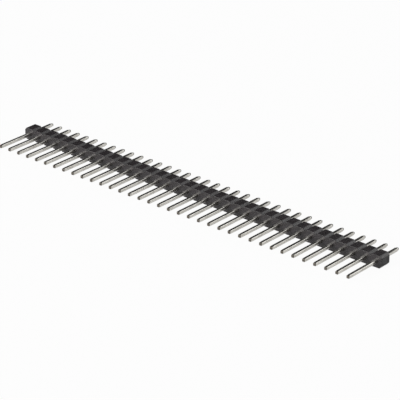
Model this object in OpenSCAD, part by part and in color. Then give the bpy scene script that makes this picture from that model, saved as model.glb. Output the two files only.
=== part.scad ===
// Single-row pin header strip: one moulded housing and a row of square pins, lying on its side.
// X runs along the row, +Y is the way the solder tails point and +Z is up.
// The origin is on the row's centre line, in the face of the housing that seats on a board.

/* [Row] */
// Number of pins in the row
positions = 36; // [2:1:59]
// Distance from one pin to the next
pitch = 2.54; // [2:0.01:5.08]

/* [Housing] */
// Thickness of the housing along the pins, from its board face to its post face
housing_depth = 2.54; // [1.5:0.01:4]
// Height of the housing across the row
housing_height = 2.54; // [2.1:0.01:4]
// Width of each break-off notch at its mouth
notch_width = 0.84; // [0.1:0.01:1.2]
// Depth of each break-off notch
notch_depth = 0.5; // [0.05:0.01:0.6]

/* [Pins] */
// Side of the square pin
pin_width = 0.64; // [0.4:0.01:0.8]
// Length of each post beyond the post face
post_length = 8.4; // [2:0.05:20]
// Length of each solder tail beyond the board face
tail_length = 4.3; // [2:0.05:20]
// Length of the taper at both ends of a pin
tip_length = 0.6; // [0.1:0.01:1]
// How far each side of a pin leans in over the taper of its post
post_tip_inset = 0.04; // [0.02:0.01:0.18]
// How far each side of a pin leans in over the taper of its tail
tail_tip_inset = 0.12; // [0.02:0.01:0.18]

/* [Fit] */
// Gap between a pin and each wall of its hole
hole_clearance = 0.01; // [0.005:0.005:0.05]
// How far each holding barb stands out of the side of its pin
barb_rise = 0.08; // [0.02:0.01:0.15]
// Length of each holding barb along its pin
barb_length = 0.7; // [0.2:0.05:1]

/* [Hidden] */
function pin_name(i) = str("pin_", i < 10 ? "0" : "", i);

row_length = positions * pitch;
shoulder = (pitch - notch_width) / 2;
notch_root = housing_height / 2 - notch_depth;
housing_middle = -housing_depth / 2;
post_end = -housing_depth - post_length;
barb_heel = housing_middle - barb_length / 2;
barb_crest = housing_middle + barb_length / 2;
overcut = 1;

// Place of pin i along the row, counted from 1 at the -X end
function pin_x(i) = (i - (positions + 1) / 2) * pitch;

// One long edge of the housing's outline, from the -X end to the +X end: the root of a notch and
// the two shoulders of the cell after it, for each pin, and the root at the far end
function notched_edge() = concat(
    [
        for (i = [1 : positions])
            for (p = [
                [pin_x(i) - pitch / 2, notch_root],
                [pin_x(i) - shoulder, housing_height / 2],
                [pin_x(i) + shoulder, housing_height / 2]
            ])
                p
    ],
    [[row_length / 2, notch_root]]
);

// The housing's outline across the pins. Its lower edge is the upper one given half a turn.
module housing_outline() {
    polygon(concat(notched_edge(), -notched_edge()));
}

// Outline of a pin along its length, as seen from one side: straight, narrower at both ends, and
// standing out by rise at the crest of its holding barb
module pin_outline(rise) {
    half_width = pin_width / 2;
    half = [
        [half_width - post_tip_inset, post_end],
        [half_width, post_end + tip_length],
        [half_width, barb_heel],
        [half_width + rise, barb_crest],
        [half_width, barb_crest],
        [half_width, tail_length - tip_length],
        [half_width - tail_tip_inset, tail_length]
    ];
    other_half = [for (i = [len(half) - 1 : -1 : 0]) [-half[i].x, half[i].y]];
    polygon(concat(half, other_half));
}

// Square hole that takes one pin, with a pocket for the barb on each side
module pin_hole() {
    hole_width = pin_width + 2 * hole_clearance;
    translate([-hole_width / 2, -housing_depth - overcut, -hole_width / 2])
        cube([hole_width, housing_depth + 2 * overcut, hole_width]);
    linear_extrude(height = hole_width, center = true)
        polygon([
            [hole_width / 2 + barb_rise, barb_crest + hole_clearance],
            [-hole_width / 2 - barb_rise, barb_crest + hole_clearance],
            [-hole_width / 2, barb_heel],
            [hole_width / 2, barb_heel]
        ]);
}

module housing() {
    color([0.13, 0.13, 0.14])
        difference() {
            rotate([90, 0, 0])
                linear_extrude(height = housing_depth)
                    housing_outline();
            for (i = [1 : positions])
                translate([pin_x(i), 0, 0])
                    pin_hole();
        }
}

// One pin: the shape that its top view and its side view have in common
module pin(i) {
    color([0.82, 0.80, 0.76])
        translate([pin_x(i), 0, 0])
            intersection() {
                linear_extrude(height = pin_width, center = true)
                    pin_outline(barb_rise);
                rotate([0, 90, 0])
                    linear_extrude(height = pin_width + 2 * barb_rise, center = true)
                        pin_outline(0);
            }
}

housing();
for (i = [1 : positions])
    pin(i);
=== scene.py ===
"""Visual model of a pin header strip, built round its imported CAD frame.

The strip lies on its side: X runs along the row, +Y is the way the solder tails point and +Z is up. One
moulded housing and a row of plated wire pins replace the plain CAD nodes, each at its own place. Each mesh
is made in millimetres, which keeps Blender's tolerances far below its details, and is scaled to metres once.
"""

import logging
import math
from dataclasses import dataclass, field
from enum import Enum
from typing import Callable, Iterable, Optional, Sequence

import bmesh
import bpy
from mathutils import Matrix, Vector, noise


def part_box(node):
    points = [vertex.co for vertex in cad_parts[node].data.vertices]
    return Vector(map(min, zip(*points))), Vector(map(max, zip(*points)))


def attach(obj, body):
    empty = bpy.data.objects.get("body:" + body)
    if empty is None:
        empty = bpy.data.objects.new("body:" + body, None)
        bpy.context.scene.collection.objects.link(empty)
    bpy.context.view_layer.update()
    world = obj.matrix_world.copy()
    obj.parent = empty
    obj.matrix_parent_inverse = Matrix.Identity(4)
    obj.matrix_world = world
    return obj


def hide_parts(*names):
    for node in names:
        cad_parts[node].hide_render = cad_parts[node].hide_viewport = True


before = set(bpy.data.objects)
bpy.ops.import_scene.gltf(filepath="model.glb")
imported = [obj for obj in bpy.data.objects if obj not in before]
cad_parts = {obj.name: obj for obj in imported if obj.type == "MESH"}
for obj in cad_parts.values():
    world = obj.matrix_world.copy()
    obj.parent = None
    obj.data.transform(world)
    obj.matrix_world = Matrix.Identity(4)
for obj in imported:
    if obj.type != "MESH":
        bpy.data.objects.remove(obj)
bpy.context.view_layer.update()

LOG = logging.getLogger("pin_header_strip")
MILLIMETRE = 0.001
NEAR = 1e-3  # places closer than this, in millimetres, are the same place
FLOOR_GAP = 1e-6  # how far the floor lies below the strip, in metres, so that no faces share a plane

Triple = tuple[float, float, float]
Colour = Triple
Span = tuple[float, float]
Socket = bpy.types.NodeSocket
Edge = bmesh.types.BMEdge
Face = bmesh.types.BMFace
Vertex = bmesh.types.BMVert


class Axis(Enum):
    """A direction of the strip, by the place of its number in a point."""

    ROW = 0
    PIN = 1
    UP = 2

    def unit(self) -> Vector:
        """Returns the direction as a vector one long."""
        return Vector([float(self.value == place) for place in range(3)])


class PinEnd(Enum):
    """An end of a pin, by the way it points along Y."""

    POST = -1
    TAIL = 1


@dataclass(frozen=True)
class Row:
    """The sizes that the housing and its pins share, in millimetres.

    The frame gives the outer sizes. The rest repeat the part's own source.
    """

    pin_nodes: tuple[str, ...]
    half_length: float
    board_face: float
    post_face: float
    half_height: float
    pin_half: float
    post_end: float
    tail_end: float
    barb_rise: float
    notch_width: float = 0.84
    notch_depth: float = 0.5
    hole_clearance: float = 0.01
    barb_length: float = 0.7
    tip_length: float = 0.6
    post_tip_inset: float = 0.04
    tail_tip_inset: float = 0.12

    @classmethod
    def from_frame(cls) -> "Row":
        """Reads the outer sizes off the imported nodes.

        Returns:
            The row's sizes in millimetres.
        """
        pins = tuple(sorted(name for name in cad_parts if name.startswith("pin_")))
        low, high = (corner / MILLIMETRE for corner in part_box("housing"))
        pin_low, pin_high = (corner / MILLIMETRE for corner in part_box(pins[0]))
        return cls(
            pin_nodes=pins,
            half_length=(high.x - low.x) / 2,
            board_face=high.y,
            post_face=low.y,
            half_height=(high.z - low.z) / 2,
            pin_half=(pin_high.z - pin_low.z) / 2,
            post_end=pin_low.y,
            tail_end=pin_high.y,
            barb_rise=(pin_high.x - pin_low.x - pin_high.z + pin_low.z) / 2,
        )

    @property
    def pitch(self) -> float:
        """Returns the distance from one pin to the next."""
        return 2 * self.half_length / len(self.pin_nodes)

    @property
    def barb_crest(self) -> float:
        """Returns the place along Y where a pin's barbs stand out most."""
        return (self.board_face + self.post_face + self.barb_length) / 2

    @property
    def barb_heel(self) -> float:
        """Returns the place along Y where a pin's barbs start to rise."""
        return self.barb_crest - self.barb_length

    def cell_middle(self, place: int) -> float:
        """Returns the place along X of a cell and its pin, counted from 0 at the -X end."""
        return (place + 0.5) * self.pitch - self.half_length


class Workpiece:
    """A mesh in the making, in millimetres, with the cuts and bends that the pieces share."""

    def __init__(self) -> None:
        """Starts with nothing."""
        self.mesh = bmesh.new()

    def block(self, low: Sequence[float], high: Sequence[float]) -> None:
        """Adds a plain block.

        Args:
            low: Its lowest corner.
            high: Its highest corner.
        """
        low, high = Vector(low), Vector(high)
        made = bmesh.ops.create_cube(self.mesh, size=1.0)["verts"]
        bmesh.ops.scale(self.mesh, vec=high - low, verts=made)
        bmesh.ops.translate(self.mesh, vec=(low + high) / 2, verts=made)

    def score(self, axis: Axis, place: float, faces: Optional[Iterable[Face]] = None) -> None:
        """Cuts faces in two where a plane crosses them, and keeps both sides.

        Args:
            axis: The direction that the plane faces.
            place: How far along that direction it lies.
            faces: The faces to cut, or None for all.
        """
        cut = list(self.mesh.faces if faces is None else faces)
        edges = {edge for face in cut for edge in face.edges}
        corners = {corner for face in cut for corner in face.verts}
        bmesh.ops.bisect_plane(
            self.mesh,
            geom=[*cut, *edges, *corners],
            dist=NEAR,
            plane_co=axis.unit() * place,
            plane_no=axis.unit(),
        )

    def corners(self, wanted: Callable[[Vector], bool]) -> list[Vertex]:
        """Returns the corners whose places are wanted."""
        return [corner for corner in self.mesh.verts if wanted(corner.co)]

    def edges(self, wanted: Callable[[Edge], bool]) -> list[Edge]:
        """Returns the wanted edges."""
        return [edge for edge in self.mesh.edges if wanted(edge)]

    def faces(self, wanted: Callable[[Face], bool]) -> list[Face]:
        """Returns the wanted faces."""
        return [face for face in self.mesh.faces if wanted(face)]

    def shift(self, corners: Sequence[Vertex], by: Sequence[float]) -> None:
        """Moves corners by one vector."""
        bmesh.ops.translate(self.mesh, vec=by, verts=list(corners))

    def shrink(self, corners: Sequence[Vertex], share: Sequence[float], about: Vector) -> None:
        """Scales corners along each direction, about a point that stays where it is."""
        bmesh.ops.scale(self.mesh, vec=share, space=Matrix.Translation(-about), verts=list(corners))

    def round_over(self, edges: Sequence[Edge], radius: float, segments: int) -> None:
        """Rounds edges and shades the new strips smoothly.

        Args:
            edges: The edges to round.
            radius: How far the rounding reaches from each edge.
            segments: How many faces it takes across.
        """
        made = bmesh.ops.bevel(
            self.mesh,
            geom=list(edges),
            offset=radius,
            offset_type="OFFSET",
            segments=segments,
            profile=0.5,
            affect="EDGES",
            clamp_overlap=True,
            material=-1,
        )
        for face in made["faces"]:
            face.smooth = True

    def piece(self, name: str) -> bpy.types.Object:
        """Turns the faces outwards, scales the mesh to metres and puts it in the scene.

        Args:
            name: The piece's name.

        Returns:
            The new object, at the origin.
        """
        bmesh.ops.recalc_face_normals(self.mesh, faces=self.mesh.faces)
        bmesh.ops.scale(self.mesh, vec=(MILLIMETRE,) * 3, verts=self.mesh.verts)
        data = bpy.data.meshes.new(name)
        self.mesh.to_mesh(data)
        self.mesh.free()
        made = bpy.data.objects.new(name, data)
        bpy.context.scene.collection.objects.link(made)
        return made


def turned(edge: Edge) -> float:
    """Returns the angle between an edge's two faces, in radians."""
    return edge.calc_face_angle(0.0)


def runs_along(edge: Edge, axis: Axis) -> bool:
    """Returns True if an edge keeps to one direction."""
    run = edge.verts[1].co - edge.verts[0].co
    return abs(run[axis.value]) > (1 - NEAR) * run.length


@dataclass(frozen=True)
class Grain:
    """A soft, irregular pattern.

    Scale is the number of features in a millimetre, detail the number of finer layers and roughness their
    strength. Stretch is a further scale along each direction, where a small share draws the pattern out.
    """

    scale: float
    detail: float = 2.0
    roughness: float = 0.5
    stretch: Triple = (1.0, 1.0, 1.0)


class NodeBoard:
    """A material's nodes, with short calls for those that the finishes use."""

    def __init__(self, name: str) -> None:
        """Makes an empty material.

        Args:
            name: The material's name.
        """
        self.material = bpy.data.materials.new(name)
        self.material.use_nodes = True
        self.tree = self.material.node_tree
        self.tree.nodes.clear()

    def add(
        self, kind: str, links: Optional[dict[str, Socket]] = None, **settings: object
    ) -> bpy.types.Node:
        """Adds a node.

        Args:
            kind: The node's type.
            links: The output that feeds each named input.
            settings: Its settings, and its inputs' values under their names with _ for a space.

        Returns:
            The node.
        """
        node = self.tree.nodes.new(kind)
        for name, value in settings.items():
            if hasattr(node, name):
                setattr(node, name, value)
            else:
                node.inputs[name.replace("_", " ")].default_value = value
        for name, output in (links or {}).items():
            self.tree.links.new(output, node.inputs[name])
        return node

    def place(self, stretch: Triple = (1.0, 1.0, 1.0)) -> Socket:
        """Reads places on the piece in millimetres.

        Args:
            stretch: A further scale along each direction.

        Returns:
            The place as a vector.
        """
        scale = [share / MILLIMETRE for share in stretch]
        spot = self.add("ShaderNodeTexCoord").outputs["Object"]
        return self.add("ShaderNodeMapping", {"Vector": spot}, Scale=scale).outputs["Vector"]

    def along(self, axis: Axis) -> Socket:
        """Returns how far along one direction a place is, in millimetres."""
        return self.add("ShaderNodeSeparateXYZ", {"Vector": self.place()}).outputs[axis.value]

    def speckle(self, grain: Grain) -> Socket:
        """Makes a soft, irregular pattern.

        Args:
            grain: Its size, detail and stretch.

        Returns:
            A value between 0 and 1.
        """
        return self.add(
            "ShaderNodeTexNoise",
            {"Vector": self.place(grain.stretch)},
            Scale=grain.scale,
            Detail=grain.detail,
            Roughness=grain.roughness,
        ).outputs["Fac"]

    def spread(
        self, value: Socket, low: float, high: float, start: float = 0.0, stop: float = 1.0
    ) -> Socket:
        """Maps a range of a value to another, smoothly and without leaving it.

        Args:
            value: The value to map.
            low: Where its range starts.
            high: Where its range ends.
            start: What low becomes.
            stop: What high becomes.

        Returns:
            The mapped value.
        """
        return self.add(
            "ShaderNodeMapRange",
            {"Value": value},
            interpolation_type="SMOOTHSTEP",
            From_Min=low,
            From_Max=high,
            To_Min=start,
            To_Max=stop,
        ).outputs["Result"]

    def combine(self, operation: str, first: Socket, second: "Socket | float" = 0.0) -> Socket:
        """Works out one value from one or two.

        Args:
            operation: The Math node's operation.
            first: The first value.
            second: An output or a number, where the operation takes a second value.

        Returns:
            The result.
        """
        made = self.add("ShaderNodeMath", {"Value": first}, operation=operation)
        if isinstance(second, (int, float)):
            made.inputs[1].default_value = second
        else:
            self.tree.links.new(second, made.inputs[1])
        return made.outputs["Value"]

    def blend(self, share: Socket, first: "Socket | Colour", second: "Socket | Colour") -> Socket:
        """Mixes two colours.

        Args:
            share: How much of the second shows.
            first: The colour at 0.
            second: The colour at 1.

        Returns:
            The mixed colour.
        """
        made = self.add("ShaderNodeMix", data_type="RGBA")
        colour_inputs = [socket for socket in made.inputs if socket.type == "RGBA"]
        self.tree.links.new(share, made.inputs["Factor"])
        for socket, colour in zip(colour_inputs, (first, second)):
            if isinstance(colour, tuple):
                socket.default_value = (*colour, 1.0)
            else:
                self.tree.links.new(colour, socket)
        return next(socket for socket in made.outputs if socket.type == "RGBA")

    def bump(self, height: Socket, depth: float, under: Optional[Socket] = None) -> Socket:
        """Turns a height into a bumped normal.

        Args:
            height: The height, from 0 to 1.
            depth: What a height of 1 stands for, in millimetres.
            under: A normal that it is added to.

        Returns:
            The normal.
        """
        links = {"Height": height}
        if under is not None:
            links["Normal"] = under
        made = self.add("ShaderNodeBump", links, Strength=1.0, Distance=depth * MILLIMETRE)
        return made.outputs["Normal"]

    def mix_shaders(self, share: Socket, first: Socket, second: Socket) -> Socket:
        """Mixes two shaders.

        Args:
            share: How much of the second shows.
            first: The shader at 0.
            second: The shader at 1.

        Returns:
            The mixed shader.
        """
        made = self.add("ShaderNodeMixShader", {"Fac": share})
        self.tree.links.new(first, made.inputs[1])
        self.tree.links.new(second, made.inputs[2])
        return made.outputs["Shader"]

    def surface(self, links: dict[str, Socket], **constants: float) -> bpy.types.Material:
        """Ends the material in one Principled shader.

        Args:
            links: The outputs that feed the shader's patterned inputs.
            constants: Its plain values.

        Returns:
            The finished material.
        """
        shader = self.add("ShaderNodeBsdfPrincipled", links, **constants)
        self.add("ShaderNodeOutputMaterial", {"Surface": shader.outputs["BSDF"]})
        return self.material


@dataclass(frozen=True)
class MouldedPlastic:
    """Black glass-filled plastic with a satin, finely eroded skin, torn where a longer strip was snapped.

    Lengths are in millimetres. Each span holds the values of a pattern between which its effect comes in.
    """

    half_length: float
    deep: Colour = (0.0187, 0.0154, 0.0170)
    dusty: Colour = (0.0300, 0.0247, 0.0273)
    torn: Colour = (0.008, 0.008, 0.008)
    roughness: tuple[float, float] = (0.27, 0.40)
    torn_roughness: float = 0.73
    torn_reach: float = 0.04
    ior: float = 1.56
    flow: Grain = Grain(0.9, detail=4.0, roughness=0.6, stretch=(0.5, 1.0, 1.0))
    flow_span: Span = (0.35, 0.7)
    skin: Grain = Grain(16.0, detail=3.0, roughness=0.65)
    skin_span: Span = (0.3, 0.7)
    skin_depth: float = 0.006
    pits: Grain = Grain(42.0, detail=1.0)
    pit_depth: float = 0.002
    fibres: Grain = Grain(7.0, detail=3.0)
    fibre_span: Span = (0.3, 0.52)

    def material(self) -> bpy.types.Material:
        """Builds the finish.

        Returns:
            The material.
        """
        board = NodeBoard("moulded_black_plastic")
        skin = board.speckle(self.skin)
        from_middle = board.combine("ABSOLUTE", board.along(Axis.ROW))
        torn = board.spread(from_middle, self.half_length - self.torn_reach, self.half_length)
        fibres = board.spread(board.speckle(self.fibres), *self.fibre_span)
        dust = board.spread(board.speckle(self.flow), *self.flow_span)
        colour = board.blend(dust, self.deep, self.dusty)
        colour = board.blend(board.combine("MULTIPLY", torn, fibres), colour, self.torn)
        rough = board.spread(skin, *self.skin_span, *self.roughness)
        rough = board.combine("MAXIMUM", rough, board.combine("MULTIPLY", torn, self.torn_roughness))
        normal = board.bump(skin, self.skin_depth)
        normal = board.bump(board.speckle(self.pits), self.pit_depth, under=normal)
        return board.surface({"Base Color": colour, "Roughness": rough, "Normal": normal}, IOR=self.ior)


@dataclass(frozen=True)
class PlatedWire:
    """Tin-plated brass wire with fine drawing lines, bare and rough where each end was cut.

    Lengths are in millimetres. Each span holds the values of a pattern between which its effect comes in.
    """

    post_end: float
    tail_end: float
    bright: Colour = (0.72, 0.702, 0.658)
    dull: Colour = (0.57, 0.553, 0.505)
    bare: Colour = (0.155, 0.140, 0.118)
    roughness: tuple[float, float] = (0.18, 0.29)
    cut_roughness: float = 0.48
    post_cut_reach: float = 0.20
    tail_cut_reach: float = 0.31
    cut_fade: float = 0.16
    cut_raggedness: float = 0.10
    cut_depth: float = 0.008
    lines: Grain = Grain(22.0, stretch=(1.0, 0.03, 1.0))
    line_share: float = 0.4
    line_depth: float = 0.0012
    blush: Grain = Grain(1.3, detail=3.0, roughness=0.6, stretch=(1.0, 0.4, 1.0))
    blush_share: float = 0.6
    grit: Grain = Grain(30.0)
    colour_span: Span = (0.38, 0.66)
    roughness_span: Span = (0.35, 0.65)

    def material(self) -> bpy.types.Material:
        """Builds the finish.

        Returns:
            The material.
        """
        board = NodeBoard("tin_plated_wire")
        lines = board.speckle(self.lines)
        grit = board.speckle(self.grit)
        cut = self.cut_share(board, grit)
        blush = board.combine("MULTIPLY", board.speckle(self.blush), self.blush_share)
        tone = board.combine("ADD", blush, board.combine("MULTIPLY", lines, self.line_share))
        colour = board.blend(board.spread(tone, *self.colour_span), self.bright, self.dull)
        colour = board.blend(cut, colour, self.bare)
        rough = board.spread(tone, *self.roughness_span, *self.roughness)
        rough = board.combine("MAXIMUM", rough, board.combine("MULTIPLY", cut, self.cut_roughness))
        normal = board.bump(lines, self.line_depth)
        normal = board.bump(board.combine("MULTIPLY", grit, cut), self.cut_depth, under=normal)
        return board.surface({"Base Color": colour, "Roughness": rough, "Normal": normal}, Metallic=1.0)

    def cut_share(self, board: NodeBoard, grit: Socket) -> Socket:
        """Works out where the wire is bare, at its two cut ends.

        Args:
            board: The material in the making.
            grit: The pattern that makes the border ragged.

        Returns:
            0 on the plating and 1 on the bare metal.
        """
        along = board.along(Axis.PIN)
        ragged = board.combine("MULTIPLY", grit, self.cut_raggedness)
        tail_side = board.combine("ADD", along, ragged)
        tail_edge = self.tail_end - self.tail_cut_reach
        tail_cut = board.spread(tail_side, tail_edge, tail_edge + self.cut_fade)
        post_side = board.combine("SUBTRACT", along, ragged)
        post_edge = self.post_end + self.post_cut_reach
        post_cut = board.spread(post_side, post_edge, post_edge - self.cut_fade)
        return board.combine("MAXIMUM", tail_cut, post_cut)


@dataclass
class Housing:
    """The moulded bar: a cell for each pin, with a break-off notch above and below each joint of two cells.

    Lengths are in millimetres. Edges that turn by less than least_turn, in degrees, stay sharp.
    """

    row: Row
    shoulder_radius: float = 0.08
    shoulder_segments: int = 3
    face_radius: float = 0.09
    face_segments: int = 2
    least_turn: float = 15.0
    hole_lead_in: float = 0.02
    end_grid: int = 9
    tear_depth: float = 0.025
    tear_grain: float = 3.1
    work: Workpiece = field(default_factory=Workpiece)

    @property
    def hole_half(self) -> float:
        """Returns half the width of a pin's hole."""
        return self.row.pin_half + self.row.hole_clearance

    def build(self) -> bpy.types.Object:
        """Makes the whole bar.

        Returns:
            The piece.
        """
        self.notch_cell()
        self.bore_cell()
        self.repeat_cell()
        self.close_ends()
        self.round_edges()
        self.tear_ends()
        return self.work.piece("moulded_housing")

    def notch_cell(self) -> None:
        """Makes a cell, open to both neighbours, and pinches in its corners for the notches."""
        row, work = self.row, self.work
        half = row.pitch / 2
        work.block((-half, row.post_face, -row.half_height), (half, row.board_face, row.half_height))
        shoulder = half - row.notch_width / 2
        for side in (-1, 1):
            work.score(Axis.ROW, side * shoulder)
        for side in (-1, 1):
            pinched = work.corners(lambda co: abs(co.x) > half - NEAR and co.z * side > 0)
            work.shift(pinched, (0, 0, -side * row.notch_depth))
        ends = work.faces(lambda face: abs(face.normal.x) > 1 - NEAR)
        bmesh.ops.delete(work.mesh, geom=ends, context="FACES_ONLY")

    def bore_cell(self) -> None:
        """Sinks the pin's square hole, with a lead-in at each mouth and a pocket for the barbs inside."""
        work = self.work
        mouths = work.faces(
            lambda face: abs(face.normal.y) > 1 - NEAR and abs(face.calc_center_median().x) < NEAR
        )
        bmesh.ops.inset_individual(work.mesh, faces=mouths, thickness=self.hole_half)
        outer = self.hole_half + self.hole_lead_in
        for mouth in mouths:
            for corner in mouth.verts:
                corner.co.x = math.copysign(outer, corner.co.x)
                corner.co.z = math.copysign(outer, corner.co.z)
        bmesh.ops.inset_individual(
            work.mesh, faces=mouths, thickness=self.hole_lead_in, depth=-self.hole_lead_in
        )
        rims = [edge for mouth in mouths for edge in mouth.edges]
        bmesh.ops.delete(work.mesh, geom=mouths, context="FACES_ONLY")
        walls = bmesh.ops.bridge_loops(work.mesh, edges=rims)["faces"]
        self.pocket(walls)

    def pocket(self, walls: Sequence[Face]) -> None:
        """Widens a hole where a pin's barbs stand out.

        Args:
            walls: The hole's four walls.
        """
        row, work = self.row, self.work
        step = row.barb_crest + row.hole_clearance
        widest = step - 2 * NEAR
        mouths = {corner for wall in walls for corner in wall.verts}
        for place in (row.barb_heel, widest, step):
            here = work.faces(lambda face: all(self.in_hole(corner.co) for corner in face.verts))
            work.score(Axis.PIN, place, here)
        crest = work.corners(lambda co: self.in_hole(co) and abs(co.y - widest) < NEAR / 2)
        for side in (-1, 1):
            moved = [corner for corner in crest if corner.co.x * side > 0 and corner not in mouths]
            work.shift(moved, (side * row.barb_rise, 0, 0))

    def in_hole(self, spot: Vector) -> bool:
        """Returns True if a place is on the walls of the middle cell's hole."""
        return max(abs(spot.x), abs(spot.z)) < self.hole_half + NEAR

    def repeat_cell(self) -> None:
        """Lays a copy of the cell at each pin and joins them into one bar."""
        row, work = self.row, self.work
        pattern = [*work.mesh.verts, *work.mesh.edges, *work.mesh.faces]
        for place in range(1, len(row.pin_nodes)):
            made = bmesh.ops.duplicate(work.mesh, geom=pattern)["geom"]
            copied = [item for item in made if isinstance(item, Vertex)]
            work.shift(copied, (row.cell_middle(place), 0, 0))
        first = [item for item in pattern if isinstance(item, Vertex)]
        work.shift(first, (row.cell_middle(0), 0, 0))
        bmesh.ops.remove_doubles(work.mesh, verts=work.mesh.verts, dist=NEAR / 2)

    def close_ends(self) -> None:
        """Closes the two open ends of the bar."""
        work = self.work
        reach = self.row.half_length - NEAR
        for side in (-1, 1):
            rim = work.edges(lambda edge: edge.is_boundary and edge.verts[0].co.x * side > reach)
            bmesh.ops.contextual_create(work.mesh, geom=rim)
        bmesh.ops.recalc_face_normals(work.mesh, faces=work.mesh.faces)

    def round_edges(self) -> None:
        """Rounds the shoulders and roots of the notches, then the outline of both long faces."""
        work = self.work
        least = math.radians(self.least_turn)
        outside = self.hole_half + 2 * self.hole_lead_in
        reach = self.row.half_length - NEAR
        lengthways = work.edges(
            lambda edge: runs_along(edge, Axis.PIN)
            and turned(edge) > least
            and abs(edge.verts[0].co.z) > outside
        )
        work.round_over(lengthways, self.shoulder_radius, self.shoulder_segments)
        outline = work.edges(
            lambda edge: abs(edge.verts[0].co.y - edge.verts[1].co.y) < NEAR
            and turned(edge) > least
            and (
                max(abs(corner.co.z) for corner in edge.verts) > outside
                or abs(edge.verts[0].co.x) > reach
            )
        )
        work.round_over(outline, self.face_radius, self.face_segments)

    def tear_ends(self) -> None:
        """Roughens the two end faces, where the strip was snapped off a longer one."""
        work = self.work
        ends = work.faces(self.is_torn)
        bmesh.ops.inset_individual(work.mesh, faces=ends, thickness=self.tear_depth)
        for axis in (Axis.PIN, Axis.UP):
            places = [corner.co[axis.value] for corner in ends[0].verts]
            low, high = min(places), max(places)
            for step in range(1, self.end_grid):
                work.score(axis, low + (high - low) * step / self.end_grid, work.faces(self.is_torn))
        torn = work.faces(self.is_torn)
        for face in torn:
            face.smooth = True
        for corner in {corner for face in torn for corner in face.verts}:
            share = (1 + noise.noise(corner.co * self.tear_grain)) / 2
            corner.co.x -= math.copysign(self.tear_depth * share, corner.co.x)

    def is_torn(self, face: Face) -> bool:
        """Returns True if a face is part of one of the bar's two ends."""
        return abs(face.calc_center_median().x) > self.row.half_length - NEAR

    def dress(self, piece: bpy.types.Object) -> None:
        """Gives the bar its finish and its place in the frame.

        Args:
            piece: The bar.
        """
        piece.data.materials.append(MouldedPlastic(half_length=self.row.half_length).material())
        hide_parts("housing")
        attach(piece, "root")


@dataclass
class WirePin:
    """A straight square pin, pressed through its cell, with a long post, a short solder tail and two barbs.

    Lengths are in millimetres.
    """

    row: Row
    place: int
    edge_radius: float = 0.09
    edge_segments: int = 3
    tip_rounding: float = 0.07
    tip_steps: int = 4

    def build(self) -> bpy.types.Object:
        """Makes the pin.

        Returns:
            The piece.
        """
        row = self.row
        work = Workpiece()
        half = row.pin_half
        work.block((-half, row.post_end, -half), (half, row.tail_end, half))
        long_edges = work.edges(lambda edge: runs_along(edge, Axis.PIN))
        work.round_over(long_edges, self.edge_radius, self.edge_segments)
        for end in PinEnd:
            self.shape_tip(work, end)
        self.raise_barbs(work)
        work.shift(work.mesh.verts, (row.cell_middle(self.place), 0, 0))
        return work.piece(f"plated_{row.pin_nodes[self.place]}")

    def shape_tip(self, work: Workpiece, end: PinEnd) -> None:
        """Narrows one end of the pin in a straight taper that rounds over at the cut.

        Args:
            work: The pin in the making.
            end: Which end.
        """
        row = self.row
        cut = row.post_end if end is PinEnd.POST else row.tail_end
        quarter = math.pi / 2
        steps = [row.tip_length, self.tip_rounding]
        steps += [
            self.tip_rounding * (1 - math.sin(quarter * step / self.tip_steps))
            for step in range(1, self.tip_steps)
        ]
        for back in steps:
            work.score(Axis.PIN, cut - end.value * back)
        for back in [*steps[1:], 0.0]:
            place = cut - end.value * back
            ring = work.corners(lambda co: abs(co.y - place) < NEAR)
            share = self.tip_half(end, back) / row.pin_half
            work.shrink(ring, (share, 1, share), Vector((0, place, 0)))

    def tip_half(self, end: PinEnd, back: float) -> float:
        """Works out half the width of a tip.

        Args:
            end: Which end of the pin.
            back: The distance back from the cut.

        Returns:
            Half the pin's width there.
        """
        row = self.row
        inset = row.post_tip_inset if end is PinEnd.POST else row.tail_tip_inset
        straight = row.pin_half - inset * (1 - back / row.tip_length)
        over = max(0.0, 1 - back / self.tip_rounding)
        return straight - self.tip_rounding * (1 - math.sqrt(max(0.0, 1 - over * over)))

    def raise_barbs(self, work: Workpiece) -> None:
        """Draws the holding barbs out of the two sides that face along the row.

        Args:
            work: The pin in the making.
        """
        row = self.row
        crest = row.barb_crest - NEAR
        flat = row.pin_half - self.edge_radius / 2
        for place in (row.barb_heel, crest, row.barb_crest + NEAR):
            work.score(Axis.PIN, place)
        for side in (-1, 1):
            flank = work.corners(lambda co: abs(co.y - crest) < NEAR / 2 and co.x * side > flat)
            work.shift(flank, (side * row.barb_rise, 0, 0))

    def dress(self, piece: bpy.types.Object, finish: bpy.types.Material) -> None:
        """Gives the pin its finish and its place in the frame.

        Args:
            piece: The pin.
            finish: The plating, which all pins share.
        """
        piece.data.materials.append(finish)
        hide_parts(self.row.pin_nodes[self.place])
        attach(piece, "root")


def outward(bearing: float, height: float) -> Vector:
    """Returns a direction, one long, from its turn from -Y towards +X and its height, both in degrees."""
    turn, rise = math.radians(bearing), math.radians(height)
    return Vector((math.sin(turn) * math.cos(rise), -math.cos(turn) * math.cos(rise), math.sin(rise)))


@dataclass(frozen=True)
class Softbox:
    """A square lamp that faces the strip.

    Its bearing turns from -Y, where the posts point, towards +X. Angles are in degrees, lengths in metres.
    """

    name: str
    bearing: float
    height: float
    side: float
    brightness: float
    distance: float = 0.9

    def build(self) -> None:
        """Hangs the lamp."""
        lamp = bpy.data.lights.new(self.name, "AREA")
        lamp.shape = "SQUARE"
        lamp.size = self.side
        lamp.energy = self.brightness * math.pi * self.side**2
        made = bpy.data.objects.new(self.name, lamp)
        back = outward(self.bearing, self.height)
        made.location = back * self.distance
        made.rotation_mode = "QUATERNION"
        made.rotation_quaternion = (-back).to_track_quat("-Z", "Y")
        made.visible_camera = False
        bpy.context.scene.collection.objects.link(made)


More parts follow.
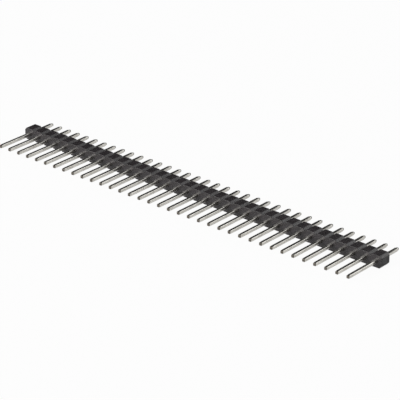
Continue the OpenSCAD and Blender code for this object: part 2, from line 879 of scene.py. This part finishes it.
@dataclass
class Studio:
    """A plain pale floor under soft light, in metres.

    Each stop of the sky is a height, as the upward part of a direction, and the grey there.
    """

    floor_height: float
    floor_radius: float = 3.0
    floor_segments: int = 64
    floor_colour: Colour = (0.80, 0.80, 0.80)
    mirrored_glow: float = 0.45
    seen_glow: float = 0.95
    lamps: tuple[Softbox, ...] = (
        Softbox("overhead_softbox", bearing=0.0, height=90.0, side=0.6, brightness=0.9, distance=1.0),
        Softbox("front_softbox", bearing=-31.0, height=26.0, side=0.8, brightness=4.6),
        Softbox("back_softbox", bearing=170.0, height=46.0, side=0.9, brightness=1.15),
        Softbox("side_softbox", bearing=136.0, height=15.0, side=0.5, brightness=2.15),
    )
    sky: tuple[tuple[float, float], ...] = ((0.0, 0.3), (0.05, 0.75), (0.095, 0.85), (0.13, 0.02))

    def build(self) -> None:
        """Sets up the floor, the sky and the lamps."""
        self.lay_floor()
        self.paint_sky()
        for lamp in self.lamps:
            lamp.build()

    def lay_floor(self) -> None:
        """Lays a round floor just under the strip."""
        shape = bmesh.new()
        bmesh.ops.create_circle(
            shape, cap_ends=True, radius=self.floor_radius, segments=self.floor_segments
        )
        bmesh.ops.translate(shape, vec=(0, 0, self.floor_height), verts=shape.verts)
        data = bpy.data.meshes.new("studio_floor")
        shape.to_mesh(data)
        shape.free()
        floor = bpy.data.objects.new("studio_floor", data)
        bpy.context.scene.collection.objects.link(floor)
        data.materials.append(self.floor_finish())

    def floor_finish(self) -> bpy.types.Material:
        """Builds a floor that lights the strip as plain paper and is seen whiter, with its shadow kept.

        Returns:
            The material.
        """
        board = NodeBoard("pale_floor")
        ray = board.add("ShaderNodeLightPath").outputs
        mirrored = board.combine("MAXIMUM", ray["Is Glossy Ray"], ray["Is Transmission Ray"])
        mirrored = board.combine("MULTIPLY", mirrored, self.mirrored_glow)
        seen = board.combine("MULTIPLY", ray["Is Camera Ray"], self.seen_glow)
        paper = board.add("ShaderNodeBsdfDiffuse", Color=(*self.floor_colour, 1.0)).outputs["BSDF"]
        glow = board.add("ShaderNodeEmission", Strength=1.0).outputs["Emission"]
        mixed = board.mix_shaders(board.combine("MAXIMUM", mirrored, seen), paper, glow)
        board.add("ShaderNodeOutputMaterial", {"Surface": mixed})
        return board.material

    def paint_sky(self) -> None:
        """Paints the room round the strip: pale near the floor and dark above."""
        world = bpy.data.worlds.new("studio_room")
        world.use_nodes = True
        nodes, links = world.node_tree.nodes, world.node_tree.links
        nodes.clear()
        way = nodes.new("ShaderNodeTexCoord")
        split = nodes.new("ShaderNodeSeparateXYZ")
        ramp = nodes.new("ShaderNodeValToRGB")
        sky = nodes.new("ShaderNodeBackground")
        out = nodes.new("ShaderNodeOutputWorld")
        while len(ramp.color_ramp.elements) < len(self.sky):
            ramp.color_ramp.elements.new(1.0)
        for stop, (height, level) in zip(ramp.color_ramp.elements, self.sky):
            stop.position = height
            stop.color = (level, level, level, 1.0)
        links.new(way.outputs["Generated"], split.inputs["Vector"])
        links.new(split.outputs["Z"], ramp.inputs["Fac"])
        links.new(ramp.outputs["Color"], sky.inputs["Color"])
        links.new(sky.outputs["Background"], out.inputs["Surface"])
        bpy.context.scene.world = world


@dataclass(frozen=True)
class Viewpoint:
    """Where the camera stands: a long lens, above and to the right of the posts.

    Angles are in degrees, lengths in metres and the lens in millimetres.
    """

    azimuth: float = 41.12
    elevation: float = 24.98
    roll: float = -0.174
    distance: float = 0.4203
    lens: float = 194.4
    shift: tuple[float, float] = (0.0101, -0.0209)
    nearest: float = 0.01

    def build(self, target: Vector) -> None:
        """Sets up the camera.

        Args:
            target: The point that it turns about.
        """
        turn, roll = math.radians(self.azimuth), math.radians(self.roll)
        back = outward(self.azimuth, self.elevation)
        level = Vector((math.cos(turn), math.sin(turn), 0.0))
        upright = back.cross(level)
        right = level * math.cos(roll) + upright * math.sin(roll)
        up = upright * math.cos(roll) - level * math.sin(roll)
        data = bpy.data.cameras.new("camera")
        data.lens = self.lens
        data.shift_x, data.shift_y = self.shift
        data.clip_start = self.nearest
        camera = bpy.data.objects.new("camera", data)
        bpy.context.scene.collection.objects.link(camera)
        facing = Matrix((right, up, back)).transposed().to_4x4()
        camera.matrix_world = Matrix.Translation(target + back * self.distance) @ facing
        bpy.context.scene.camera = camera


def report(piece: bpy.types.Object) -> None:
    """Logs a finished piece and its number of faces."""
    LOG.info("%s: %d faces", piece.name, len(piece.data.polygons))


def main() -> None:
    """Builds the strip, then the floor, the light and the camera."""
    logging.basicConfig(level=logging.INFO, format="%(name)s %(message)s")
    bpy.context.scene.view_settings.view_transform = "Standard"
    row = Row.from_frame()
    housing = Housing(row)
    bar = housing.build()
    housing.dress(bar)
    report(bar)
    plating = PlatedWire(post_end=row.post_end, tail_end=row.tail_end).material()
    for place in range(len(row.pin_nodes)):
        pin = WirePin(row, place)
        piece = pin.build()
        pin.dress(piece, plating)
        report(piece)
    Studio(floor_height=-row.half_height * MILLIMETRE - FLOOR_GAP).build()
    low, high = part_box("housing")
    Viewpoint().build((low + high) / 2)


if __name__ == "__main__":
    main()
